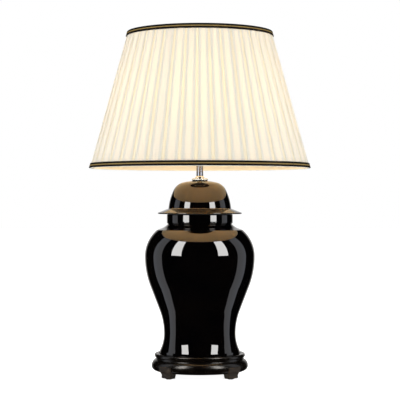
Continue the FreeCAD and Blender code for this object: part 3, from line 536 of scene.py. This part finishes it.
def pleatedCover(material):
    section = pleatSection()
    rng = random.Random(shade["seed"])
    pitch, start = 2 * math.pi / shade["pleats"], math.radians(shade["firstGap"])
    middle = cone["radius"]((cone["low"] + cone["high"]) / 2) * pitch
    phases = [rng.uniform(0, 100) for _ in range(shade["pleats"])]
    widths = [rng.uniform(-1, 1) * shade["uneven"] for _ in range(shade["pleats"])]
    rows, tall = shade["rows"], cone["high"] - cone["low"]
    verts, uvs, depths, along, before = [], [], [], 0.0, 0.0
    for number in range(shade["pleats"]):
        for share, down in section:
            along += abs(number + share - before) * middle
            before = number + share
            side = 1 if share > 0.5 else -1
            raised = math.sin(math.pi * share)
            for row in range(rows + 1):
                level = row / rows
                z = cone["low"] + tall * level
                drift = noise.noise(Vector((phases[number], level * shade["wanderSize"], side)))
                stray = drift * shade["wander"] * raised
                angle = (number + share + stray + widths[number] * side * raised) * pitch + start
                sag = shade["belly"] * math.sin(math.pi * level) * (down == 2) * (1 - raised)
                verts.append(onCone(angle, z, shade["proud"] - down * shade["layer"] - sag))
                uvs.append((along, level * tall * cone["slant"]))
                depths.append(min(1, down))
    along += abs(shade["pleats"] - before) * middle
    faces = hoopFaces(len(section) * shade["pleats"], rows)
    cover = clothPiece("pleatedCover", verts, faces, uvs, material, along)
    # painted shade: marks the cloth down between and under the flats for the yellower tint
    recess = cover.data.attributes.new("recess", "FLOAT", "POINT")
    recess.data.foreach_set("value", depths)
    return cover, along


def liningSheet(material, around=240, rows=20):
    low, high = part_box("shade_lining")[0][2], cone["high"] - cloth["liningShort"]
    outward = -cloth["liningInside"]
    wide = 2 * math.pi * cone["radius"]((low + high) / 2, outward)
    verts, uvs = [], []
    for column in range(around):
        for row in range(rows + 1):
            z = low + (high - low) * row / rows
            verts.append(onCone(2 * math.pi * column / around, z, outward))
            uvs.append((column / around * wide, (z - low) * cone["slant"]))
    return clothPiece("liningSheet", verts, hoopFaces(around, rows), uvs, material, wide)


def ribbonTrim(name, node, material):
    # three cords side by side, woven as one ribbon that is sewn over the cloth's edge
    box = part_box(node)
    low, high = box[0][2], box[1][2]
    profile = [(0.0, trim["back"])]
    for row in range(trim["rows"]):
        share = row / (trim["rows"] - 1)
        ridge = abs(math.sin(math.pi * trim["cords"] * share)) ** trim["cordRound"]
        profile.append((share, trim["lies"] + trim["thick"] - trim["ridgeHeight"] * (1 - ridge)))
    profile.append((1.0, trim["back"]))
    verts, uvs, faces = [], [], []
    around, step = trim["around"], len(profile)
    for column in range(around):
        angle = 2 * math.pi * column / around
        after = (column + 1) % around
        for row, (share, outward) in enumerate(profile):
            verts.append(onCone(angle, low + (high - low) * share, outward))
            uvs.append((angle * cone["radius"](low), share))
            here, there, up = column * step, after * step, (row + 1) % step
            faces.append((here + row, there + row, there + up, here + up))
    return clothPiece(name, verts, faces, uvs, material, 2 * math.pi * cone["radius"](low))


def dressShade():
    pleatCloth = wovenCloth("pleatCloth", cloth["pleatColour"], cloth["pleatGlow"],
                            cloth["pleatThrough"], cloth["slub"], cloth["recess"])
    liningCloth = wovenCloth("liningCloth", cloth["liningColour"], cloth["liningGlow"],
                             cloth["liningThrough"], cloth["liningSlub"])
    ribbon = stripedRibbon()
    cover, coverWide = pleatedCover(pleatCloth)
    lining = liningSheet(liningCloth)
    lowTrim = ribbonTrim("lowerRibbon", "lower_trim", ribbon)
    highTrim = ribbonTrim("upperRibbon", "upper_trim", ribbon)
    pairs = ((cover, "shade_cover", "shade_cloth"), (lining, "shade_lining", "lining_cloth"),
             (lowTrim, "lower_trim", "striped_trim"), (highTrim, "upper_trim", "striped_trim"))
    for piece, node, slotName in pairs:
        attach(piece, "shade")
        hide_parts(node)
    middle = cone["radius"]((cone["high"] + cone["low"]) / 2) * 2 * math.pi
    print("shade dressed:", len(cover.data.vertices), "points in the pleats,",
          "flat width", round(coverWide, 2))


# lights, backdrop, floor and camera

studio = {
    "softboxAway": 0.81,
    "softboxAngle": 46.5,      # degrees to each side of the camera
    "softboxWide": 0.30,
    "softboxHeight": (0.305, 1.15),
    "softboxPower": 4.85,
    "softboxColour": (0.93, 1.16, 1.50),
    "fillAway": 1.0,
    "fillPower": 4.25,         # what the softboxes give to cloth and wood
    "panelAngle": 93,
    "panelAway": 0.8,
    "panelWide": 0.36,
    "panelHeight": (-1.2, 1.0),
    "panelPower": 1.33,
    "panelColour": (0.80, 0.99, 1.31),
    "roomLight": 0.40,
    "backdropEdge": (0.86, 0.97),
    "backdropGleam": (0.0008, 0.8),
}


def panelLight(name, angle, away, wide, low, high, power, colour=(1, 1, 1)):
    data = bpy.data.lights.new(name, "AREA")
    data.shape = "RECTANGLE"
    data.size, data.size_y = wide, high - low
    data.energy = power
    data.color = colour
    lamp = bpy.data.objects.new(name, data)
    turn = math.radians(angle)
    lamp.location = (away * math.sin(turn), -away * math.cos(turn), (low + high) / 2)
    lamp.rotation_euler = (math.radians(90), 0, turn)
    lamp.visible_camera = False
    scene.collection.objects.link(lamp)
    return lamp


def setLights():
    for name, side in (("leftSoftbox", -1), ("rightSoftbox", 1)):
        angle, box = side * studio["softboxAngle"], (studio["softboxWide"], *studio["softboxHeight"])
        shine = panelLight(name, angle, studio["softboxAway"], *box,
                           studio["softboxPower"], studio["softboxColour"])
        shine.visible_diffuse = shine.visible_transmission = False
        fill = panelLight(name + "Fill", angle, studio["fillAway"], *box, studio["fillPower"])
        fill.visible_glossy = False
    for name, side in (("leftPanel", -1), ("rightPanel", 1)):
        panelLight(name, side * studio["panelAngle"], studio["panelAway"], studio["panelWide"],
                   *studio["panelHeight"], studio["panelPower"], studio["panelColour"])
    low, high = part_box("bulb_glass")
    globe = (high[0] - low[0]) / 2
    data = bpy.data.lights.new("bulbLight", "POINT")
    data.energy = bulb["power"]
    data.color = bulb["colour"]
    data.shadow_soft_size = globe - bulb["wall"]
    nodes["bulb_glass"].visible_shadow = False  # the light inside shines out through the glass
    lamp = bpy.data.objects.new("bulbLight", data)
    lamp.location = (0, 0, high[2] - globe)
    scene.collection.objects.link(lamp)
    print("lights set")


def setWorld():
    # white to look at, a white backdrop behind the lamp for grazing reflections, dark elsewhere
    world = bpy.data.worlds.new("studioRoom")
    world.use_nodes = True
    scene.world = world
    tree = world.node_tree
    path = addNode(tree, "ShaderNodeLightPath")
    coords = addNode(tree, "ShaderNodeTexCoord")
    way = addNode(tree, "ShaderNodeSeparateXYZ", {0: coords.outputs["Generated"]})
    (edgeFrom, edgeTo), (gleamFrom, gleamTo) = studio["backdropEdge"], studio["backdropGleam"]
    behind = addNode(tree, "ShaderNodeMapRange", {
        "Value": way.outputs["Y"], "From Min": edgeFrom, "From Max": edgeTo,
        "To Min": gleamFrom, "To Max": gleamTo}, interpolation_type="SMOOTHSTEP").outputs[0]
    inRoom = addNode(tree, "ShaderNodeMix", {
        "Factor": path.outputs["Is Glossy Ray"], "A": studio["roomLight"], "B": behind}).outputs["Result"]
    seen = addNode(tree, "ShaderNodeMix", {"Factor": path.outputs["Is Camera Ray"], "A": inRoom, "B": 1.0})
    shader = tree.nodes["Background"]
    tree.links.new(seen.outputs["Result"], shader.inputs["Strength"])
    shader.inputs["Color"].default_value = (1, 1, 1, 1)


floorLook = {"half": 14, "glow": 0.95, "cloudSize": 3, "low": (0.9, 0.9, 0.9), "high": (0.93, 0.93, 0.93)}


def layFloor():
    half = floorLook["half"]
    verts = [(x, y, 0) for x, y in ((-half, -half), (half, -half), (half, half), (-half, half))]
    floor = meshPiece("paleFloor", verts, [(0, 1, 2, 3)], smooth=False)
    mat, tree, shader = startFinish("paleFloorPaint", Roughness=0.9, Emission_Strength=floorLook["glow"])
    cloud = grain(tree, placeOf(tree), floorLook["cloudSize"], 2)
    tree.links.new(cloudy(tree, cloud, floorLook["low"], floorLook["high"]), shader.inputs["Base Color"])
    shader.inputs["Emission Color"].default_value = (1, 1, 1, 1)
    floor.data.materials.append(mat)
    floor.visible_glossy = False
    print("floor laid")


view = {"away": 2.789, "height": 0.362, "aside": 0.0004, "lens": 121.5, "sensor": 36}


def setCamera():
    data = bpy.data.cameras.new("lampView")
    data.lens, data.sensor_width = view["lens"], view["sensor"]
    camera = bpy.data.objects.new("lampView", data)
    camera.location = (view["aside"], -view["away"], view["height"])
    camera.rotation_euler = (math.radians(90), 0, 0)
    scene.collection.objects.link(camera)
    scene.camera = camera


finishPieces()
carveFeet()
dressShade()
setLights()
setWorld()
layFloor()
setCamera()
scene.view_settings.view_transform = "Standard"
print("scene ready")
